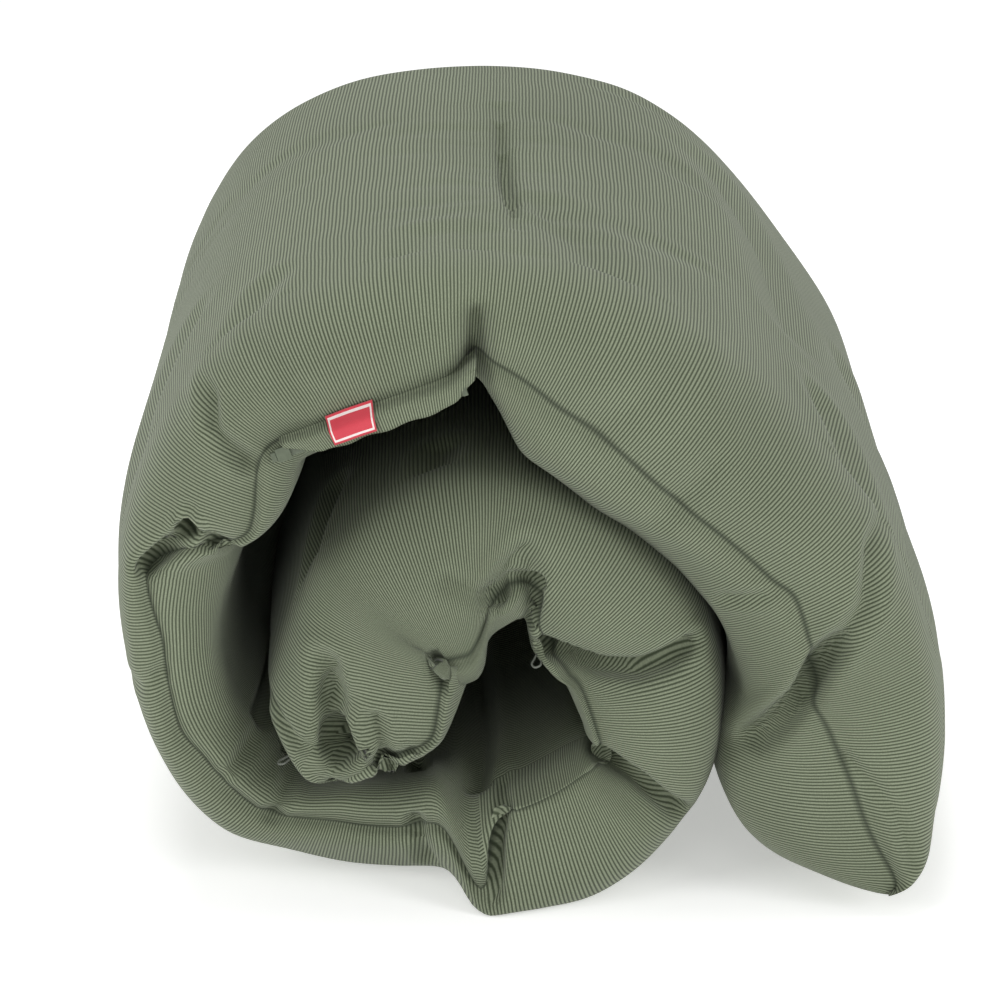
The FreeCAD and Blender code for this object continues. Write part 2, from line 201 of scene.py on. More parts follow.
# Depth of the edge seam under the outer skin, in millimetres.
SEAM_DEPTH = [
    (1, 25), (1.3, 46), (1.62, 68), (1.95, 84), (2.1, 76), (2.5, 62), (2.56, 68), (3.05, 76), (3.2, 76),
    (3.6, 70), (3.88, 56), (4, 50), (4.04, 58), (4.1, 64), (4.2, 67.5), (4.35, 70.5), (4.5, 72), (4.7, 70.5),
    (4.9, 65.7), (5, 61), (5.15, 58), (5.3, 64), (5.45, 72), (5.62, 76), (5.72, 66), (5.8, 42), (5.9, 20),
    (5.97, 16), (6.3, 27), (6.76, 22), (6.9, 28), (7.08, 30), (7.55, 30), (8, 28), (8.5, 28), (8.75, 32),
    (8.94, 24), (9, 8), (9.05, 40), (9.12, 64), (9.2, 72), (9.4, 82), (9.62, 86), (9.85, 80), (10, 72),
    (10.12, 70), (10.3, 80), (10.68, 92), (11.26, 93), (11.45, 88), (11.58, 78), (11.66, 62), (11.8, 60),
    (11.95, 76), (12.1, 98), (12.33, 112), (12.6, 110), (13.85, 110), (14, 60),
]
# How far the front edge draws in from the mat's full width, in millimetres.
DRAW_IN = [
    (1, 2), (1.5, 4), (2, 8), (2.5, 5), (3, 4), (3.8, 3), (4, 6), (4.2, 3), (5, 1), (5.55, 0), (5.8, 8),
    (6.2, 16), (7, 34), (7.6, 44), (8.3, 40), (8.75, 22), (9, -4), (9.2, 4), (9.5, 10), (10, 16), (10.5, 6),
    (11, 16), (11.5, 8), (12, 14), (12.5, 6), (13, 4), (13.6, 3), (14, 8),
]
# Radius across the mat of the front rim's outer edge, in millimetres.
EDGE_ROUND = [
    (1, 40), (1.3, 62), (8.4, 62), (8.8, 45), (9, 10), (9.2, 22), (9.6, 45), (10, 60), (14, 60),
]
# How much thicker than its CAD panel the mat is at the front rim, in millimetres.
EDGE_SWELL = [
    (1, 0), (1.3, 6), (1.5, 15), (1.75, 17), (2, 12), (2.4, 8), (2.8, 6), (3.2, 12), (3.6, 8), (3.85, -12),
    (4, -30), (4.1, -14), (4.3, -4), (4.9, -2), (5.1, -6), (5.3, 2), (5.55, 8), (5.7, 4), (5.85, -6), (6, 0),
    (9.3, 0), (9.6, 4),
    (9.9, 0), (10.1, -10), (10.3, -2), (10.7, 6), (11, 10), (11.2, 14), (11.45, 12), (11.57, 0),
    (11.64, -4), (11.72, 8), (11.85, 18), (12, 26), (12.2, 34), (12.4, 37), (12.7, 32), (13.1, 25),
    (13.5, 12), (13.8, 3), (14, 0),
]
# Deep creases on the rims: places and depths in mm along the crease, then its half width and depth in mm.
CREASES = [
    ([(4.0, 26), (4.0, 62)], 14, 28),
    ([(2.2, 62), (2.0, 90), (1.6, 132)], 16, 14),
    ([(5.92, 19), (5.7, 37), (5.76, 66)], 14, 12),
    ([(9.06, 18), (9.15, 68)], 14, 13),
    ([(10.0, 10), (10.24, 76)], 20, 22),
    ([(11.43, 89), (11.06, 72), (10.91, 50), (10.9, 24)], 18, 24),
    ([(11.78, 46), (11.6, 84)], 13, 15),
    ([(3.06, 40), (3.06, 96)], 16, 6),
    ([(13.7, 44), (14.0, 52)], 18, 18),
]
# Fine folds and pinches of the rims, pressed in after the cloth simulation, in the same form.
RIM_FOLDS = [
    ([(5.93, 17), (5.8, 30), (5.7, 37)], 9, 8),
    ([(5.7, 37), (5.69, 38)], 9, 12),
    ([(5.7, 37), (5.72, 52), (5.77, 68)], 8, 6),
    ([(5.57, 34), (5.69, 37)], 6, 3),
    ([(5.1, 10), (5.2, 24), (5.24, 53)], 9, 9),
    ([(13.55, 36), (13.8, 43), (13.97, 50)], 13, 12),
    ([(13.9, 48), (13.96, 54)], 14, 16),
    ([(13.86, 2), (13.95, 22), (13.97, 42)], 6, 5),
    ([(13.96, 60), (13.97, 80), (13.9, 96)], 6, 5),
    ([(13.76, 70), (14.0, 84)], 9, 8),
    ([(13.25, 104), (13.5, 110)], 9, 6),
    ([(12.09, 74), (12.2, 66), (12.36, 56)], 10, 6),
    ([(11.97, 70), (11.9, 52), (11.84, 36)], 11, 7),
    ([(11.7, 52), (11.6, 80)], 6, 7),
    ([(11.9, 74), (11.82, 58), (11.7, 54)], 7, 6),
    ([(11.43, 89), (11.06, 72), (10.91, 50), (10.9, 29), (10.92, 14)], 9, 9),
    ([(10.28, 80), (10.16, 50), (10.01, 16)], 9, 8),
    ([(9.05, 14), (9.1, 50), (9.16, 70)], 7, 6),
    ([(2.45, 4), (2.3, 28), (2.14, 74), (2.0, 90), (1.7, 124)], 12, 9),
    ([(2.62, 100), (2.56, 80)], 8, 5),
    ([(1.62, 66), (1.4, 30), (1.2, 16)], 7, 3),
    ([(7.08, 34), (7.04, 54)], 9, 5),
    ([(7.5, 30), (7.44, 54)], 9, 5),
    ([(8.66, 30), (8.6, 60)], 9, 7),
    ([(3.3, 8), (3.42, 60)], 20, 4),
    ([(4.3, 6), (4.36, 50)], 14, 3.5),
    ([(4.82, 8), (4.74, 48)], 13, 3.5),
    ([(6.5, 4), (6.45, 20)], 10, 3),
]
# Wrinkles of the two faces: face, places and Y in m along the wrinkle, half width and depth in mm.
FACE_FOLDS = [
    ("outer", [(3.93, 0.12), (3.92, 0.03), (3.9, -0.08), (3.895, -0.13), (3.875, -0.18)], 11, 3),
    ("outer", [(3.93, 0.08), (3.91, -0.02), (3.9, -0.09), (3.89, -0.15)], 8, 4),
    ("outer", [(3.915, 0.02), (3.905, -0.05), (3.895, -0.12)], 7, 4),
    ("outer", [(3.8, -0.12), (3.7, -0.18), (3.6, -0.24)], 30, 5),
    ("outer", [(4.05, -0.2), (3.99, -0.3)], 26, 4),
    ("outer", [(4.2, -0.2), (4.34, -0.29)], 20, 4),
    ("outer", [(4.75, -0.2), (5.05, -0.3)], 22, 5),
    ("outer", [(5.2, -0.12), (5.6, -0.2), (5.75, -0.27)], 26, 5),
    ("outer", [(2.75, -0.16), (2.6, -0.22), (2.4, -0.3)], 24, 8),
    ("outer", [(2.5, 0.02), (2.2, -0.1), (2.1, -0.2)], 34, 6),
    ("outer", [(3.2, 0.14), (3.0, 0.05), (2.9, -0.06)], 36, 5),
    ("outer", [(1.6, -0.2), (1.45, -0.27)], 22, 5),
    ("outer", [(12.3, -0.2), (12.42, -0.29)], 18, 6),
    ("outer", [(12.9, -0.16), (13.2, -0.24), (13.5, -0.3)], 18, 7),
    ("outer", [(11.6, -0.16), (11.8, -0.24), (11.82, -0.3)], 18, 7),
    ("outer", [(11.3, -0.2), (11.5, -0.28)], 16, 5),
    ("outer", [(13.0, -0.26), (12.75, -0.3)], 14, 5),
    ("lining", [(7.0, -0.1), (6.98, -0.3)], 15, 9),
    ("lining", [(7.34, -0.2), (7.4, -0.3)], 11, 7),
    ("lining", [(7.72, -0.21), (7.66, -0.3)], 11, 6),
    ("lining", [(8.6, -0.19), (8.62, -0.3)], 10, 7),
    ("lining", [(9.06, 0.16), (9.0, 0.0), (9.05, -0.18), (9.02, -0.3)], 17, 10),
]
# How far the fabric between edge seam and lining stands proud of the front edge, in millimetres.
LOWER_PROUD = [(1, 12), (3.97, 10), (4.06, -6), (4.94, -6), (5.1, 6), (5.4, 12), (14, 12)]
# How much the lining closes up on its neighbour towards the back of the roll, in millimetres.
BACK_SWELL = [
    (1, 0), (1.4, 12), (2.6, 14), (3, 0), (5, 0), (5.4, 28), (6.4, 42), (7.1, 34), (7.6, 18), (8.3, 34),
    (9.3, 40), (9.8, 26), (10.3, 16), (11, 14), (11.6, 0), (14, 0),
]
# How far the outer face lies inside the line through the folds, in millimetres.
OUTER_IN = [
    (1, 0), (1.5, 0), (1.75, 5), (1.95, 8), (2.2, 6), (2.5, 0), (3, 0), (3.25, -7), (3.5, -10), (3.75, -6),
    (3.95, 0), (6.5, 0), (6.8, -4), (7, -9), (7.2, -11), (7.45, -8), (7.7, -2), (7.8, 0), (8.8, 0), (9, -11),
    (9.2, -16), (9.4, -16), (9.6, -12), (9.8, 0), (12.2, 0), (12.6, 8), (12.9, 15), (13.3, 16), (13.6, 9),
    (13.85, 0), (14, 0),
]
# How much further inside it lies towards the back of the roll, in millimetres.
BACK_IN = [
    (1, 0), (1.4, 0), (1.75, 3), (1.95, 15), (2.1, 19), (2.26, 13), (2.42, 5), (2.62, 3), (2.78, 0), (3, -8),
    (3.2, -10), (3.35, -10), (3.5, -7), (3.65, 0), (3.8, 4), (3.95, 5), (4.1, 4), (4.3, 2), (4.5, -2),
    (4.8, -3), (5.1, -2), (5.3, 0), (5.5, 3), (5.65, 12), (5.8, 23), (6, 21), (6.3, 12), (6.7, 3), (7, 0),
    (14, 0),
]


def rounded_end(distance, radius, power=2.4):
    """0 at an end of the mat, rising to 1 at the radius like a round; a greater power is squarer."""
    x = np.clip(distance / radius, 0, 1)
    return (1 - (1 - x) ** power) ** (1 / power)


def stations():
    """Distances along the mat: even, but closer together towards its two rounded ends."""
    near = END_LENGTH * (1 - np.cos(np.linspace(0, math.pi / 2, END_ROWS)))
    marks = [END_LENGTH, *[s_of(n + share) for n, share in CUT.items()], LENGTH - END_LENGTH]
    rows = [near[:-1]]
    for a, b in zip(marks, marks[1:]):
        rows.append(np.linspace(a, b, max(2, round((b - a) / STEP) + 1))[:-1])
    rows.append(LENGTH - near[::-1])
    return np.concatenate(rows)


def bezier(a, b, c, d, count):
    """Points on cubic curves, one curve per row, without the last point."""
    t = np.linspace(0, 1, count + 1)[:-1][None, :, None]
    a, b, c, d = (np.asarray(x)[:, None, :] for x in (a, b, c, d))
    return (1 - t) ** 3 * a + 3 * (1 - t) ** 2 * t * b + 3 * (1 - t) * t**2 * c + t**3 * d


def pair(y, depth):
    """Points of a section from Y and depth."""
    y, depth = np.broadcast_arrays(y, depth)
    return np.stack([y, depth], -1)


def rim(half, outer, low, high, seam, side, lower_proud=0.012):
    """The two halves of a rim: outer face to edge seam, and edge seam to lining. side is -1 in front."""
    proud, recess = 0.012, 0.006
    thick = high - low
    a = pair(half - outer, low)
    s = pair(half - recess, seam)
    b = pair(half - RIM_WIDTH, high)
    upper = bezier(
        a,
        pair(half + 0.4 * proud, low),
        pair(half + proud, low + 0.6 * (seam - low)),
        s,
        UPPER_COLUMNS,
    )
    lower = bezier(
        s,
        pair(half + lower_proud, seam + 0.35 * (high - seam)),
        pair(half - 0.2 * RIM_WIDTH, high + 0.02 * thick),
        b,
        LOWER_COLUMNS,
    )
    for part in (upper, lower):
        part[..., 0] *= side
    return upper, lower


def smooth_step(x):
    """Rises smoothly from 0 at 0 to 1 at 1."""
    x = np.clip(x, 0, 1)
    return x * x * (3 - 2 * x)


def build_grid():
    """Stations by columns: place along the mat, Y and depth of each point of the shell, going round it."""
    s = stations()
    depth = curve([(n + 0.5, DEPTH[n]) for n in range(1, PANELS + 1)], s, 0.03)
    # depth at which the two faces meet at each end, and how square the inner end is
    outer_end, inner_end, square = 0.03, 0.055, 3.2
    low = outer_end * (1 - rounded_end(s, 0.03))
    low += inner_end * (1 - rounded_end(LENGTH - s, 0.024, square))
    low += curve(OUTER_IN, s) / 1000
    close_outer = 1 - rounded_end(s, 0.075)
    close_inner = 1 - rounded_end(LENGTH - s, 0.026, square)
    high = depth - (depth - outer_end) * close_outer - (depth - inner_end) * close_inner
    draw, edge_round = curve(DRAW_IN, s) / 1000, curve(EDGE_ROUND, s, 0.006) / 1000
    swell = curve(EDGE_SWELL, s, 0.006) / 1000 * (1 - close_outer) * (1 - close_inner)
    # the seam stays between the two faces
    least_share, most_share = 0.02, 0.95
    seam_share = np.maximum(curve(SEAM_DEPTH, s, 0.004) / 1000 / depth, least_share)
    seam = low + np.minimum(seam_share * (high - low), most_share * (high + swell - low))
    lower_proud = curve(LOWER_PROUD, s, 0.004) / 1000
    upper, lower = rim(WIDTH / 2 - draw, edge_round, low, high + swell, seam, -1, lower_proud)
    back_seam = low + np.clip(seam_share, 0.3, 0.7) * (high - low)
    back_high = high + curve(BACK_SWELL, s) / 1000 * (1 - close_outer) * (1 - close_inner)
    back_half = WIDTH / 2 - 0.5 * draw
    back_upper, back_lower = rim(back_half, np.full_like(s, BACK_ROUND), low, back_high, back_seam, 1)

    def across(start, stop, level, crown):
        t = np.linspace(0, 1, FACE_COLUMNS + 1)[:-1]
        y = start[:, None] * (1 - t) + stop[:, None] * t
        bulge = crown * (1 - (2 * t - 1) ** 4) * ((high - low) / depth)[:, None]
        return np.stack([y, level[:, None] + bulge], -1)

    outer_crown, lining_crown = -0.005, 0.006
    outer_face = across(back_upper[:, 0, 0], upper[:, 0, 0], low, outer_crown)
    lining = across(-(WIDTH / 2 - draw - RIM_WIDTH), back_half - RIM_WIDTH, high, lining_crown)
    share = np.arange(FACE_COLUMNS) / FACE_COLUMNS
    lining[..., 1] += swell[:, None] * (1 - smooth_step(share / 0.25))
    lining[..., 1] += (back_high - high)[:, None] * smooth_step((share - 0.3) / 0.4)
    # going round: outer face (back to front), front rim, lining (front to back), back rim in reverse
    last = np.stack([back_half - RIM_WIDTH, back_high], -1)[:, None]
    back_low = np.concatenate([back_lower[:, 1:], last], 1)[:, ::-1]
    on_back_seam = back_lower[:, :1]
    back_up = back_upper[:, 1:][:, ::-1]
    parts = [outer_face, upper, lower, lining, back_low, on_back_seam, back_up]
    names = ["outer", "front_upper", "front_lower", "lining", "back_lower", "back_upper", "back_upper"]
    grid = np.concatenate(parts, 1)
    kind = np.concatenate([[n] * part.shape[1] for n, part in zip(names, parts)])
    return s, grid[..., 0], grid[..., 1], kind, seam, high


def distance_to_line(points, corners):
    """Distance of each point from a line with corners."""
    nearest = np.full(points.shape[:-1], np.inf)
    for a, b in zip(corners, corners[1:]):
        ab = b - a
        t = np.clip(((points - a) @ ab) / (ab @ ab + 1e-12), 0, 1)
        nearest = np.minimum(nearest, np.linalg.norm(points - a - t[..., None] * ab, axis=-1))
    return nearest


def near_fold(xz, s, places, half_width):
    """Distance from a fold on the rims as a share of its half width; other turns of the roll are far."""
    near_panels, far = 0.6, 9
    line = [spot(place, depth / 1000) for place, depth in places]
    share = distance_to_line(xz, line) / (half_width / 1000)
    own = [place for place, _ in places]
    return np.where((p_of(s) > min(own) - near_panels) & (p_of(s) < max(own) + near_panels), share, far)


def shape_shell():
    """The shell's points at rest, before it is puffed, with what the later steps need to know of them."""
    s, y, depth, kind, seam, high = build_grid()
    p = p_of(s)[:, None]
    point, normal = frame_at(s)
    back = smooth_step((y + 0.2) / 0.35) * (1 - smooth_step(depth / (0.8 * high[:, None])))
    depth = depth + curve(BACK_IN, s)[:, None] / 1000 * back
    xz = point[:, None] + depth[..., None] * normal[:, None]
    held = np.zeros(y.shape)
    rims = np.isin(kind, ["front_upper", "front_lower", "back_upper", "back_lower"])
    edge = smooth_step((np.abs(y) - (WIDTH / 2 - 0.075)) / 0.06)
    held_width = 3.5  # millimetres to each side of a crease that the cloth simulation leaves in place
    for places, half_width, deep in CREASES:
        share = near_fold(xz, s[:, None], places, half_width)
        x = np.clip(share, 0, 1)
        y = y - np.sign(y) * (1 - x) ** 2 * (1 + 0.5 * x) * (deep / 1000) * edge
        held = np.maximum(held, (share * half_width < held_width) * rims[None, :] * (edge > 0.5))
    # stitched dimple on top, along the roll's axis
    dimple_place, dimple_y, dimple_reach, dimple_depth = 3.91, -0.03, 0.13, 0.008
    over = (s - s_of(dimple_place))[:, None]
    along = np.clip(1 - np.abs(y - dimple_y) / dimple_reach, 0, 1)
    outer = (kind == "outer")[None, :]
    dip = dimple_depth * np.exp(-0.5 * (over / 0.02) ** 2) * smooth_step(along) * outer
    xz = xz + dip[..., None] * normal[:, None]
    held = np.maximum(held, (np.abs(over) < 0.005) & (along > 0.02) & outer)
    # the free end's front corner and the front edge left of the bottom rise off the floor
    end_lift, edge_lift = 0.013, 0.031
    front = np.clip((-y - 0.19) / 0.09, 0, 1)
    lift = end_lift * np.clip(1 - s / 0.07, 0, 1)[:, None] ** 1.5 * front
    lift += edge_lift * front * smooth_step((p - 7.32) / 0.8) * (1 - smooth_step((p - 8.72) / 0.26))
    xz[..., 1] += lift
    # the inner end sags a little between its corners in front
    sag_depth = 0.02
    sag = np.exp(-(((depth - 0.042) / 0.03) ** 2)) * smooth_step((s - LENGTH + 0.04) / 0.04)[:, None]
    xz += (sag_depth * sag * smooth_step((-y - 0.12) / 0.12))[..., None] * direction(HEADING[PANELS])
    # flat place on the back rim for the power inlet
    inlet_face = 0.2994
    low_inlet, high_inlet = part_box("power_inlet")
    centre = np.array([low_inlet[0] + high_inlet[0], low_inlet[2] + high_inlet[2]]) / 2
    far = np.linalg.norm(xz - centre, axis=-1)
    flat = (1 - smooth_step((far - 0.024) / 0.03)) * (y > 0.2)
    y = y + (np.minimum(y, inlet_face) - y) * flat
    held = np.maximum(held, (flat > 0.9) * 1.0)
    first_lower = np.argmax(kind == "front_lower")
    back_seam = np.where(kind == "back_lower")[0][-1] + 1
    # the edge seams and the mat's two closed ends
    held[:, [first_lower, back_seam]] = 1
    held[[0, -1]] = 1
    shell = np.stack([xz[..., 0], y, xz[..., 1]], -1)
    shell[..., 2] = np.maximum(shell[..., 2], FLOOR_GAP)
    return s, shell, kind, held, first_lower, back_seam


# ---------------------------------------------------------------- meshes


def mesh_object(name, points, faces, uv=None, smooth=True):
    mesh = bpy.data.meshes.new(name)
    mesh.from_pydata([tuple(p) for p in points], [], [tuple(int(i) for i in f) for f in faces])
    mesh.update()
    if uv is not None:
        layer = mesh.uv_layers.new(name="weave")
        layer.data.foreach_set("uv", np.asarray(uv, np.float32).ravel())
    if smooth:
        mesh.polygons.foreach_set("use_smooth", np.ones(len(mesh.polygons), bool))
    made = bpy.data.objects.new(name, mesh)
    bpy.context.scene.collection.objects.link(made)
    return made


def coordinates(mesh):
    co = np.empty(len(mesh.vertices) * 3, np.float32)
    mesh.vertices.foreach_get("co", co)
    return co.reshape(-1, 3).astype(float)


def add_attribute(mesh, name, values):
    layer = mesh.attributes.new(name, "FLOAT", "POINT")
    layer.data.foreach_set("value", np.asarray(values, np.float32).ravel())


def apply_modifiers(obj):
    graph = bpy.context.evaluated_depsgraph_get()
    baked = bpy.data.meshes.new_from_object(obj.evaluated_get(graph))
    obj.modifiers.clear()
    obj.data = baked


def shell_object():
    """The shell as a mesh with its weave coordinates and what the later steps need to know of its points."""
    s, shell, kind, held, front_seam, back_seam = shape_shell()
    rows, columns = shell.shape[:2]
    index = np.arange(rows * columns).reshape(rows, columns)
    i0, j0 = np.meshgrid(np.arange(rows - 1), np.arange(columns), indexing="ij")
    j1 = (j0 + 1) % columns
    quads = np.stack([index[i0, j0], index[i0 + 1, j0], index[i0 + 1, j1], index[i0, j1]], -1).reshape(-1, 4)
    # weave coordinates: u runs across the ribs, v along them; at the ends they follow the rounded fabric
    girth = np.linalg.norm(np.roll(shell, -1, 1) - shell, axis=2)
    on_lining = kind == "lining"
    girth[:, on_lining] = girth[rows // 2, on_lining]
    around = np.concatenate([np.zeros((rows, 1)), np.cumsum(girth, 1)], 1)
    around -= around[:, [np.argmax(on_lining)]]
    along = np.repeat(s[:, None], columns, 1)
    advance = np.linalg.norm(np.diff(shell, axis=0), axis=2)
    rounded = 0.06
    for i in np.where(s < rounded)[0][::-1]:
        along[i] = along[i + 1] - advance[i]
    for i in np.where(s > LENGTH - rounded)[0]:
        along[i] = along[i - 1] + np.maximum(advance[i - 1], s[i] - s[i - 1])
    # beyond the notch in panel 05 the lining's ribs run along the mat, and so do its rims' up to panel 09
    notch, rims_end = 5.66, 9
    place = p_of(s)[i0]
    lower_rims = np.isin(kind[j0], ["front_lower", "back_lower"])
    lengthwise = (place > notch) & ((kind[j0] == "lining") | (lower_rims & (place <= rims_end)))
    us = np.stack([along[i0, j0], along[i0 + 1, j0], along[i0 + 1, j1], along[i0, j1]], -1)
    vs = np.stack([around[i0, j0], around[i0 + 1, j0], around[i0 + 1, j0 + 1], around[i0, j0 + 1]], -1)
    uv = np.where(lengthwise[..., None, None], np.stack([vs, us], -1), np.stack([us, vs], -1))
    made = mesh_object("mat_shell", shell.reshape(-1, 3), quads, uv.reshape(-1, 2))
    seam_line = np.zeros((rows, columns))
    seam_line[:, [front_seam, back_seam]] = 1
    add_attribute(made.data, "place", np.repeat(s, columns))
    face = np.where(kind == "outer", 1.0, np.where(kind == "lining", -1.0, 0.0))
    add_attribute(made.data, "face", np.tile(face, rows))
    add_attribute(made.data, "seam", seam_line)
    add_attribute(made.data, "held", held)
    return made, s, columns, front_seam


def values_of(mesh, name):
    values = np.empty(len(mesh.vertices), np.float32)
    mesh.attributes[name].data.foreach_get("value", values)
    return values


def vertex_normals(mesh):
    normals = np.empty(len(mesh.vertices) * 3, np.float32)
    mesh.vertex_normals.foreach_get("vector", normals)
    return normals.reshape(-1, 3).astype(float)


def press_folds(obj):
    """Presses the fine folds into the shell and raises soft shoulders along them."""
    co, normals = coordinates(obj.data), vertex_normals(obj.data)
    s, face = values_of(obj.data, "place"), values_of(obj.data, "face")
    front = smooth_step((-co[:, 1] - 0.2) / 0.07)

    def groove(share):
        x = np.clip(share, 0, 1)
        return (1 - x) ** 1.7 * (1 + 0.7 * x) - 0.16 * np.exp(-(((share - 1.15) / 0.38) ** 2))

    push = np.zeros(len(co))
    for places, half_width, deep in RIM_FOLDS:
        share = near_fold(co[:, [0, 2]], s, places, half_width)
        push += groove(share) * deep / 1000 * front
    flat = np.stack([s, co[:, 1]], -1)
    for side, places, half_width, deep in FACE_FOLDS:
        line = np.array([(s_of(place), y) for place, y in places])
        share = distance_to_line(flat, line) / (half_width / 1000)
        mine = face > 0.4 if side == "outer" else face < -0.4
        push += groove(share) * deep / 1000 * mine
    co -= push[:, None] * normals
    co[:, 2] = np.maximum(co[:, 2], FLOOR_GAP)
    obj.data.vertices.foreach_set("co", co.astype(np.float32).ravel())
    obj.data.update()


def puff(obj, rows, frames=18, pressure=1.6, cap=0.006):
    """Blows the shell up a little with cloth, holding its seams and creases, and evens out its ripples."""
    held, rest = values_of(obj.data, "held"), coordinates(obj.data)
    group = obj.vertex_groups.new(name="held")
    group.add([int(i) for i in np.where(held > 0.5)[0]], 1.0, "REPLACE")
    cloth = obj.modifiers.new("cloth", "CLOTH")
    settings = cloth.settings
    settings.quality = 5
    settings.mass = 0.25
    settings.tension_stiffness = settings.compression_stiffness = 12
    settings.shear_stiffness = 6
    settings.bending_stiffness = 0.4
    settings.use_pressure = True
    settings.uniform_pressure_force = pressure
    settings.vertex_group_mass = "held"
    settings.pin_stiffness = 1.0
    settings.shrink_min = -0.006
    settings.effector_weights.gravity = 0
    cloth.collision_settings.use_collision = False
    cloth.point_cache.frame_start, cloth.point_cache.frame_end = 1, frames
    scene = bpy.context.scene
    for number in range(1, frames + 1):
        scene.frame_set(number)
    graph = bpy.context.evaluated_depsgraph_get()
    moved = coordinates(obj.evaluated_get(graph).data)
    obj.modifiers.clear()
    obj.vertex_groups.clear()
    scene.frame_set(1)
    shift = (moved - rest).reshape(rows, -1, 3)
    for _ in range(5):
        near = (np.roll(shift, 1, 0) + np.roll(shift, -1, 0)) / 2
        shift[1:-1] = (0.5 * shift + 0.5 * near)[1:-1]
    shift = shift.reshape(-1, 3)
    far = np.linalg.norm(shift, axis=1)
    shift *= np.where(far > 1e-9, cap * np.tanh(far / cap) / np.maximum(far, 1e-9), 0)[:, None]
    moved = rest + shift
    moved[:, 2] = np.maximum(moved[:, 2], FLOOR_GAP)
    obj.data.vertices.foreach_set("co", moved.astype(np.float32).ravel())
    obj.data.update()


# ---------------------------------------------------------------- materials


def new_material(name):
    material = bpy.data.materials.new(name)
    material.use_nodes = True
    tree = material.node_tree
    shader = tree.nodes["Principled BSDF"]
    return material, tree, shader


def node(tree, kind, *inputs, **settings):
    """A node with its settings, and its inputs linked or set in order; None leaves an input alone."""
    made = tree.nodes.new(kind)
    for key, value in settings.items():
        setattr(made, key, value)
    for k, value in enumerate(inputs):
        if value is None:
            continue
        if isinstance(value, bpy.types.NodeSocket):
            tree.links.new(value, made.inputs[k])
        else:
            made.inputs[k].default_value = value
    return made


def maths(tree, operation, *inputs):
    return node(tree, "ShaderNodeMath", *inputs, operation=operation).outputs[0]


def colour_mix(tree, factor, a, b, blend_type="MIX"):
    made = tree.nodes.new("ShaderNodeMix")
    made.data_type, made.blend_type = "RGBA", blend_type
    for socket, value in zip((made.inputs[0], made.inputs[6], made.inputs[7]), (factor, a, b)):
        if isinstance(value, bpy.types.NodeSocket):
            tree.links.new(value, socket)
        else:
            socket.default_value = value
    return made.outputs[2]


def ribbed_fabric():
    """Corded weave: fine raised ribs with painted shade in the gaps between them, crossed by hardly visible
    binding threads.
    """
    material, tree, shader = new_material("ribbed_fabric")
    weave = node(tree, "ShaderNodeUVMap", uv_map="weave").outputs[0]
    place = node(tree, "ShaderNodeTexCoord").outputs["Object"]
    split = node(tree, "ShaderNodeSeparateXYZ", weave)
    drift = node(tree, "ShaderNodeTexNoise", place)
    drift.inputs["Scale"].default_value = 14
    shifted = maths(tree, "MULTIPLY_ADD", drift.outputs[0], 0.0022, split.outputs[0])
    phase = maths(tree, "MULTIPLY", shifted, 2 * math.pi / RIB_PITCH)
    rib = maths(tree, "MULTIPLY_ADD", maths(tree, "SINE", phase), 0.5, 0.5)
    thread = maths(tree, "SINE", maths(tree, "MULTIPLY", split.outputs[1], 2 * math.pi / THREAD_PITCH))
    fleck = node(tree, "ShaderNodeTexNoise", weave)
    fleck.inputs["Scale"].default_value = 900
    fleck.inputs["Detail"].default_value = 2
    cloud = node(tree, "ShaderNodeTexNoise", place)
    cloud.inputs["Scale"].default_value = 5
    cloud.inputs["Detail"].default_value = 4
    # colour follows the rib's height: the gaps between ribs are darkened as painted shade in the grooves, on
    # top of the relief that the bump gives
    tone = node(tree, "ShaderNodeValToRGB", rib)
    ramp = tone.color_ramp
    ramp.elements[0].position, ramp.elements[0].color = 0.08, (0.052, 0.066, 0.037, 1)
    ramp.elements[1].position, ramp.elements[1].color = 0.75, (0.218, 0.248, 0.168, 1)
    spread = node(tree, "ShaderNodeMapRange", fleck.outputs[0], 0.3, 0.7, 0.86, 1.12).outputs[0]
    colour = colour_mix(tree, 1.0, tone.outputs[0], spread, "MULTIPLY")
    wide = node(tree, "ShaderNodeMapRange", cloud.outputs[0], 0.35, 0.65, 0.94, 1.05).outputs[0]
    colour = colour_mix(tree, 1.0, colour, wide, "MULTIPLY")
    seam = node(tree, "ShaderNodeAttribute", attribute_name="seam").outputs["Fac"]
    dark = node(tree, "ShaderNodeMapRange", seam, 0.5, 1.0, 0.0, 0.8).outputs[0]
    colour = colour_mix(tree, dark, colour, (0.03, 0.038, 0.024, 1))
    tree.links.new(colour, shader.inputs["Base Color"])
    height = maths(tree, "MULTIPLY_ADD", thread, 0.12, rib)
    height = maths(tree, "MULTIPLY_ADD", fleck.outputs[0], 0.25, height)
    bump = node(tree, "ShaderNodeBump")
    bump.inputs["Strength"].default_value = 0.7
    bump.inputs["Distance"].default_value = 0.0005
    tree.links.new(height, bump.inputs["Height"])
    tree.links.new(bump.outputs[0], shader.inputs["Normal"])
    shader.inputs["Roughness"].default_value = 0.88
    shader.inputs["Specular IOR Level"].default_value = 0.25
    shader.inputs["Sheen Weight"].default_value = 0.12
    shader.inputs["Sheen Roughness"].default_value = 0.5
    return material


FABRIC = ribbed_fabric()

# ---------------------------------------------------------------- the mat, cut into pieces


def bend_at_fold(obj):
    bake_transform(obj)


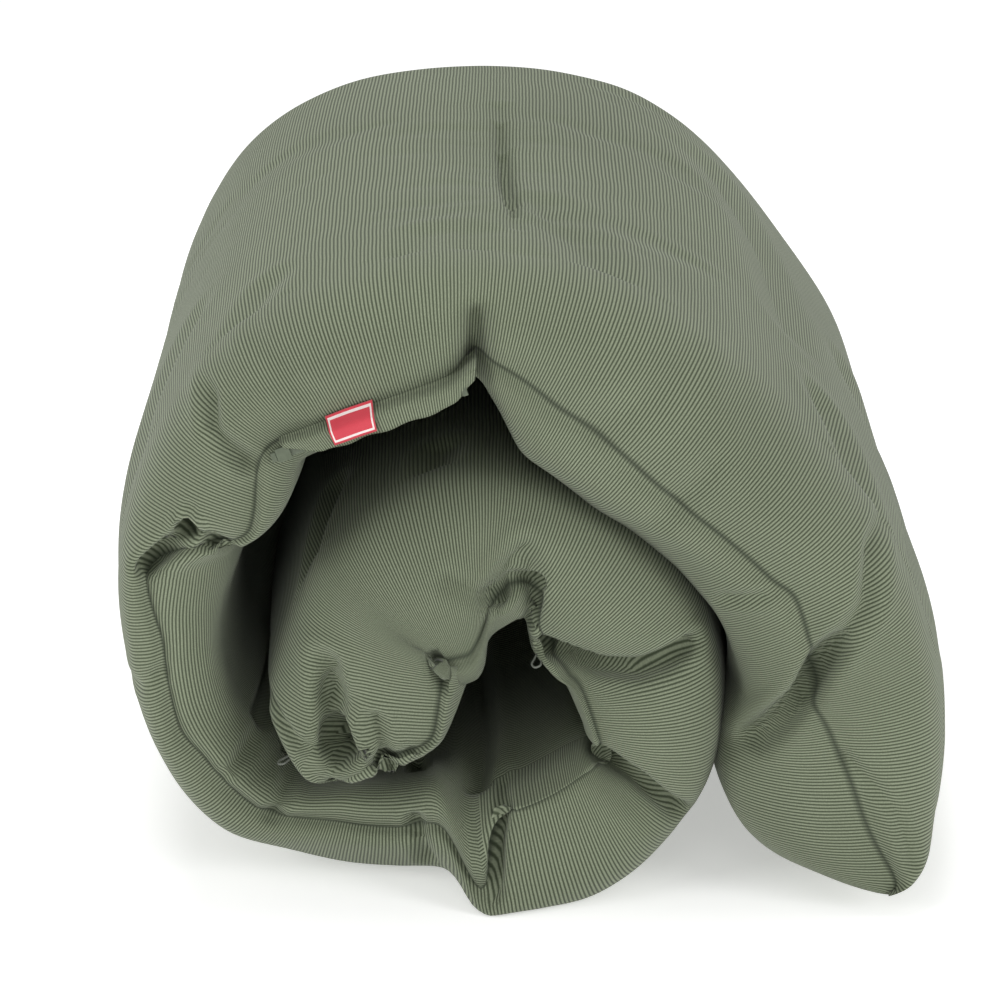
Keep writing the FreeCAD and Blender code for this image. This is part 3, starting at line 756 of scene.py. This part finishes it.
def divide(shell):
    """Twelve pieces, each from one cut to the next, with the whole shell's normals."""
    mesh = shell.data
    co = coordinates(mesh)
    normals = vertex_normals(mesh)
    corners = np.empty(len(mesh.loops), np.int32)
    mesh.loops.foreach_get("vertex_index", corners)
    corners = corners.reshape(-1, 4)
    uv = np.empty(len(mesh.loops) * 2, np.float32)
    mesh.uv_layers["weave"].data.foreach_get("uv", uv)
    uv = uv.reshape(-1, 4, 2)
    place, seam = values_of(mesh, "place"), values_of(mesh, "seam")
    middle = place[corners].mean(1)
    for number in range(2, PANELS + 1):
        low = s_of(number - 1 + CUT[number - 1]) if number > 2 else -1
        high = s_of(number + CUT[number]) if number < PANELS else LENGTH + 1
        mine = (middle > low) & (middle < high)
        used, local = np.unique(corners[mine], return_inverse=True)
        piece = mesh_object(f"mat_fold_{number:02d}", co[used], local.reshape(-1, 4), uv[mine].reshape(-1, 2))
        add_attribute(piece.data, "seam", seam[used])
        piece.data.normals_split_custom_set_from_vertices([tuple(v) for v in normals[used].astype(float)])
        piece.data.materials.append(FABRIC)
        bend_at_fold(piece)
        for panel in [number] + ([1] if number == 2 else []):
            soft = [n for n in frame["nodes"] if n[-2:] == f"{panel:02d}" and n[:-3] in SOFT]
            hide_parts(*soft)
    bpy.data.objects.remove(shell)


shell, STATIONS, COLUMNS, FRONT_SEAM = shell_object()
puff(shell, len(STATIONS))
subdivide = shell.modifiers.new("fine", "SUBSURF")
subdivide.levels = subdivide.render_levels = 1
subdivide.uv_smooth = "NONE"
apply_modifiers(shell)
press_folds(shell)
SURFACE = BVHTree.FromObject(shell, bpy.context.evaluated_depsgraph_get())
RINGS = coordinates(shell.data)[: len(STATIONS) * COLUMNS].reshape(len(STATIONS), COLUMNS, 3)
divide(shell)

# ---------------------------------------------------------------- fly, label, loops and CAD pieces

# Places along the mat where the fly starts, changes from one fold to the next, and ends.
FLY_START, FLY_MIDDLE, FLY_END = 3.985, 4.5, 5.0


def seam_point(s):
    """Point of the front edge seam and the direction from it towards the lining, along the rim."""
    path = RINGS[:, FRONT_SEAM]
    point = np.array([np.interp(s, STATIONS, path[:, k]) for k in range(3)])
    _, normal = frame_at(np.array([s]))
    return point, np.array([normal[0, 0], 0, normal[0, 1]])


def ribbon(name, rows, thickness, uv_rows, material):
    """Thin closed strip from a grid of points on its front face; its back lies behind by its thickness."""
    front = np.array(rows)
    back = front + np.array([0, thickness, 0])
    count, wide = front.shape[:2]
    points = np.concatenate([front.reshape(-1, 3), back.reshape(-1, 3)])
    uvs = np.array(uv_rows).reshape(-1, 2)
    n = count * wide
    faces = []
    for i in range(count - 1):
        for j in range(wide - 1):
            a, b, c, d = i * wide + j, i * wide + j + 1, (i + 1) * wide + j + 1, (i + 1) * wide + j
            faces += [(a, b, c, d), (n + d, n + c, n + b, n + a)]
    border = [i * wide for i in range(count)] + [(count - 1) * wide + j for j in range(1, wide)]
    border += [i * wide + wide - 1 for i in range(count - 2, -1, -1)] + list(range(wide - 2, 0, -1))
    for a, b in zip(border, border[1:] + border[:1]):
        faces.append((b, a, n + a, n + b))
    uv = [uvs[v % n] for face in faces for v in face]
    made = mesh_object(name, points, faces, uv)
    made.data.materials.append(material)
    return made


def fly_piece(name, p_start, p_end):
    """Part of the flap of fabric that hangs from the seam over the zip."""
    width, thickness, count = 0.0165, 0.0012, 10
    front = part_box("zip_fly")[0][1]
    rows, uvs = [], []
    for s in np.linspace(s_of(p_start), s_of(p_end), 26):
        point, down = seam_point(s)
        whole = (s - s_of(FLY_START)) / (s_of(FLY_END) - s_of(FLY_START))
        reach = width * min(1, 0.8 + 2 * whole, 0.4 + 3.5 * (1 - whole)) * (1 + 0.04 * math.sin(30 * whole))
        row, uv = [], []
        for k in range(count):
            x = k / (count - 1)
            out = smooth_step(x / 0.28) * (1 - 0.16 * x * x)
            y = point[1] + (front - thickness - point[1]) * out
            row.append(np.array([point[0], y, point[2]]) + down * (reach * x - 0.0015))
            uv.append((s, 0.5 + reach * x))
        rows.append(row)
        uvs.append(uv)
    made = ribbon(name, rows, thickness, uvs, FABRIC)
    add_attribute(made.data, "seam", np.zeros(len(made.data.vertices)))
    bend_at_fold(made)
    return made


def label_piece(covered):
    """Plain woven label, sewn into the seam and lying over rim and fly, whose surfaces it follows."""
    length, height, start = 0.040, 0.0175, s_of(4) + 0.0885
    slant, drop, lift, thickness = 0.004, 0.004, 0.0012, 0.0007
    long_count, high_count = 24, 12
    rows, uvs = [], []
    for a in np.linspace(0, 1, long_count):
        row, uv = [], []
        for b in np.linspace(0, 1, high_count):
            point, down = seam_point(start + a * length + slant * (b - 0.5))
            place = point + down * ((b - 0.5) * height + drop)
            before = Vector((place[0], -0.4, place[2]))
            hits = [tree.ray_cast(before, Vector((0, 1, 0)))[0] for tree in covered]
            place[1] = min(hit.y for hit in hits if hit)
            row.append(place)
            uv.append((a, b))
        rows.append(row)
        uvs.append(uv)
    grid = np.array(rows)
    under = grid[..., 1].copy()
    for _ in range(12):
        y = np.pad(grid[..., 1], 1, mode="edge")
        y = (y[:-2, 1:-1] + y[2:, 1:-1] + y[1:-1, :-2] + y[1:-1, 2:]) / 4
        grid[..., 1] = np.minimum(y, under)
    grid[..., 1] -= lift
    made = ribbon("woven_label_patch", grid, thickness, uvs, label_weave())
    bend_at_fold(made)
    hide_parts("woven_label")
    return made


def label_weave():
    """Red satin weave with a thin pale woven border and no mark."""
    material, tree, shader = new_material("label_weave")
    uv = node(tree, "ShaderNodeUVMap", uv_map="weave").outputs[0]
    split = node(tree, "ShaderNodeSeparateXYZ", uv)
    edges = []
    for socket, share in ((split.outputs[0], 0.035), (split.outputs[1], 0.085)):
        off = maths(tree, "ABSOLUTE", maths(tree, "SUBTRACT", socket, 0.5))
        inside = maths(tree, "LESS_THAN", off, 0.5 - share)
        line = maths(tree, "GREATER_THAN", off, 0.5 - 2.0 * share)
        edges.append((inside, line))
    framed = maths(tree, "MULTIPLY", edges[0][0], edges[1][0])
    border = maths(tree, "MULTIPLY", framed, maths(tree, "MAXIMUM", edges[0][1], edges[1][1]))
    warp = maths(tree, "SINE", maths(tree, "MULTIPLY", split.outputs[0], 420))
    weft = maths(tree, "SINE", maths(tree, "MULTIPLY", split.outputs[1], 190))
    cross = maths(tree, "MULTIPLY", warp, weft)
    tone = node(tree, "ShaderNodeMapRange", cross, -1, 1, 0.82, 1.12).outputs[0]
    red = colour_mix(tree, 1.0, (0.63, 0.035, 0.06, 1), tone, "MULTIPLY")
    colour = colour_mix(tree, border, red, (0.86, 0.74, 0.72, 1))
    tree.links.new(colour, shader.inputs["Base Color"])
    bump = node(tree, "ShaderNodeBump")
    bump.inputs["Strength"].default_value = 0.5
    bump.inputs["Distance"].default_value = 0.0002
    tree.links.new(maths(tree, "MULTIPLY_ADD", border, 1.5, cross), bump.inputs["Height"])
    tree.links.new(bump.outputs[0], shader.inputs["Normal"])
    shader.inputs["Roughness"].default_value = 0.6
    shader.inputs["Sheen Weight"].default_value = 0.2
    return material


def plain(name, colour, roughness, grain=60, metallic=0.0, spread=0.12):
    """Simple procedural finish: a colour that varies a little and a fine grain in the surface."""
    material, tree, shader = new_material(name)
    place = node(tree, "ShaderNodeTexCoord").outputs["Object"]
    noise = node(tree, "ShaderNodeTexNoise", place)
    noise.inputs["Scale"].default_value = grain
    noise.inputs["Detail"].default_value = 5
    tone = node(tree, "ShaderNodeMapRange", noise.outputs[0], 0.3, 0.7, 1 - spread, 1 + spread).outputs[0]
    tree.links.new(colour_mix(tree, 1.0, (*colour, 1), tone, "MULTIPLY"), shader.inputs["Base Color"])
    bump = node(tree, "ShaderNodeBump")
    bump.inputs["Strength"].default_value = 0.25
    bump.inputs["Distance"].default_value = 0.0002
    tree.links.new(noise.outputs[0], bump.inputs["Height"])
    tree.links.new(bump.outputs[0], shader.inputs["Normal"])
    shader.inputs["Roughness"].default_value = roughness
    shader.inputs["Metallic"].default_value = metallic
    return material


def hang_loop(name, cad_node, aim, reach=0.008):
    """Small loop of round cord that comes out of the fabric where its CAD node stands."""
    cord_radius = 0.0007
    low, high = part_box(cad_node)
    middle = (low + high) / 2
    spot_on, normal, _, _ = SURFACE.find_nearest(middle)
    out = (Vector(aim).normalized() + 0.5 * normal).normalized()
    side = out.cross(Vector((0, 0, 1)) if abs(out.z) < 0.8 else Vector((1, 0, 0))).normalized()
    # across the loop in metres, then along it as a share of its reach, or in metres inside the fabric
    steps = [(-0.0018, -0.004), (-0.0024, 0.3), (-0.0034, 0.75), (0, 1.12), (0.0034, 0.75), (0.0024, 0.3)]
    steps.append((0.0018, -0.004))
    path = bpy.data.curves.new(name, "CURVE")
    path.dimensions = "3D"
    path.bevel_depth = cord_radius
    path.bevel_resolution, path.resolution_u = 3, 8
    line = path.splines.new("NURBS")
    line.points.add(len(steps) - 1)
    for point, (across, along) in zip(line.points, steps):
        along = along * reach if along > 0 else along
        point.co = (*(spot_on + across * side + along * out), 1)
    line.order_u, line.use_endpoint_u = 3, True
    source = bpy.data.objects.new(name + "_line", path)
    bpy.context.scene.collection.objects.link(source)
    graph = bpy.context.evaluated_depsgraph_get()
    mesh = bpy.data.meshes.new_from_object(source.evaluated_get(graph))
    bpy.data.objects.remove(source)
    made = bpy.data.objects.new(name, mesh)
    bpy.context.scene.collection.objects.link(made)
    mesh.materials.clear()
    mesh.materials.append(CORD)
    bend_at_fold(made)
    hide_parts(cad_node)
    return made


CORD = plain("loop_cord", (0.11, 0.12, 0.10), 0.7, grain=900, spread=0.3)
fly_near = fly_piece("zip_fly_near_notch", FLY_START, FLY_MIDDLE)
fly_far = fly_piece("zip_fly_far", FLY_MIDDLE, FLY_END)
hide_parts("zip_fly")
layers = [BVHTree.FromObject(o, bpy.context.evaluated_depsgraph_get()) for o in (fly_near, fly_far)]
label_piece([SURFACE, *layers])
hang_loop("loop_at_end", "hang_loop_end", (-0.6, -0.5, -0.2))
hang_loop("loop_in_middle", "hang_loop_middle", (0.1, -0.8, -0.5))

FINISHES = {
    "zip_nylon": plain("zip_nylon", (0.10, 0.12, 0.08), 0.55, grain=700),
    "zip_metal": plain("zip_metal", (0.11, 0.13, 0.09), 0.4, grain=200, metallic=0.6),
    "black_plastic": plain("black_plastic", (0.018, 0.018, 0.019), 0.42, grain=500),
    "contact_brass": plain("contact_brass", (0.76, 0.57, 0.24), 0.28, grain=150, metallic=1.0),
    "lead_insulation": plain("lead_insulation", (0.42, 0.035, 0.03), 0.5, grain=120),
}
for part in frame["record"]["subparts"]:
    carried = frame["nodes"][part["node"]]
    if part["material_slot"] in FINISHES and not carried.hide_render:
        carried.data.materials.clear()
        carried.data.materials.append(FINISHES[part["material_slot"]])

# ---------------------------------------------------------------- floor, lights and camera


def area_light(name, place, target, size, power):
    data = bpy.data.lights.new(name, "AREA")
    data.shape, data.size, data.energy = "DISK", size, power
    light = bpy.data.objects.new(name, data)
    light.location = place
    light.rotation_euler = (Vector(target) - Vector(place)).to_track_quat("-Z", "Y").to_euler()
    bpy.context.scene.collection.objects.link(light)


def floor_material():
    material, _, shader = new_material("pale_floor")
    shader.inputs["Base Color"].default_value = (0.93, 0.93, 0.93, 1)
    shader.inputs["Emission Color"].default_value = (1, 1, 1, 1)
    shader.inputs["Emission Strength"].default_value = 0.42
    shader.inputs["Roughness"].default_value = 0.9
    shader.inputs["Specular IOR Level"].default_value = 0.1
    return material


FLOOR_CORNERS = [(-8, -8, 0), (8, -8, 0), (8, 8, 0), (-8, 8, 0)]
floor = mesh_object("floor", FLOOR_CORNERS, [(0, 1, 2, 3)], smooth=False)
floor.data.materials.append(floor_material())

world = bpy.data.worlds.new("studio")
bpy.context.scene.world = world
world.use_nodes = True
world.node_tree.nodes["Background"].inputs[0].default_value = (1, 1, 1, 1)
world.node_tree.nodes["Background"].inputs[1].default_value = 0.44
MIDDLE = (0, 0, 0.2)
area_light("key", (-0.3, 0.3, 2.9), MIDDLE, 1.6, 38)
area_light("left", (-2.4, -1.7, 1.2), MIDDLE, 1.4, 27)
area_light("right", (2.4, -1.9, 1.2), MIDDLE, 1.4, 34)
area_light("front", (0, -2.7, 2.0), MIDDLE, 1.4, 8)
bpy.context.scene.view_settings.view_transform = "Standard"

CAMERA_TARGET = Vector((-0.019, 0, 0.178))
CAMERA_ELEVATION = math.radians(19)
CAMERA_DISTANCE = 3.284
camera_data = bpy.data.cameras.new("camera")
camera_data.lens, camera_data.sensor_width = 172.8, 36
camera = bpy.data.objects.new("camera", camera_data)
away = Vector((0, -math.cos(CAMERA_ELEVATION), math.sin(CAMERA_ELEVATION)))
camera.location = CAMERA_TARGET + away * CAMERA_DISTANCE
camera.rotation_euler = (-away).to_track_quat("-Z", "Y").to_euler()
bpy.context.scene.collection.objects.link(camera)
bpy.context.scene.camera = camera
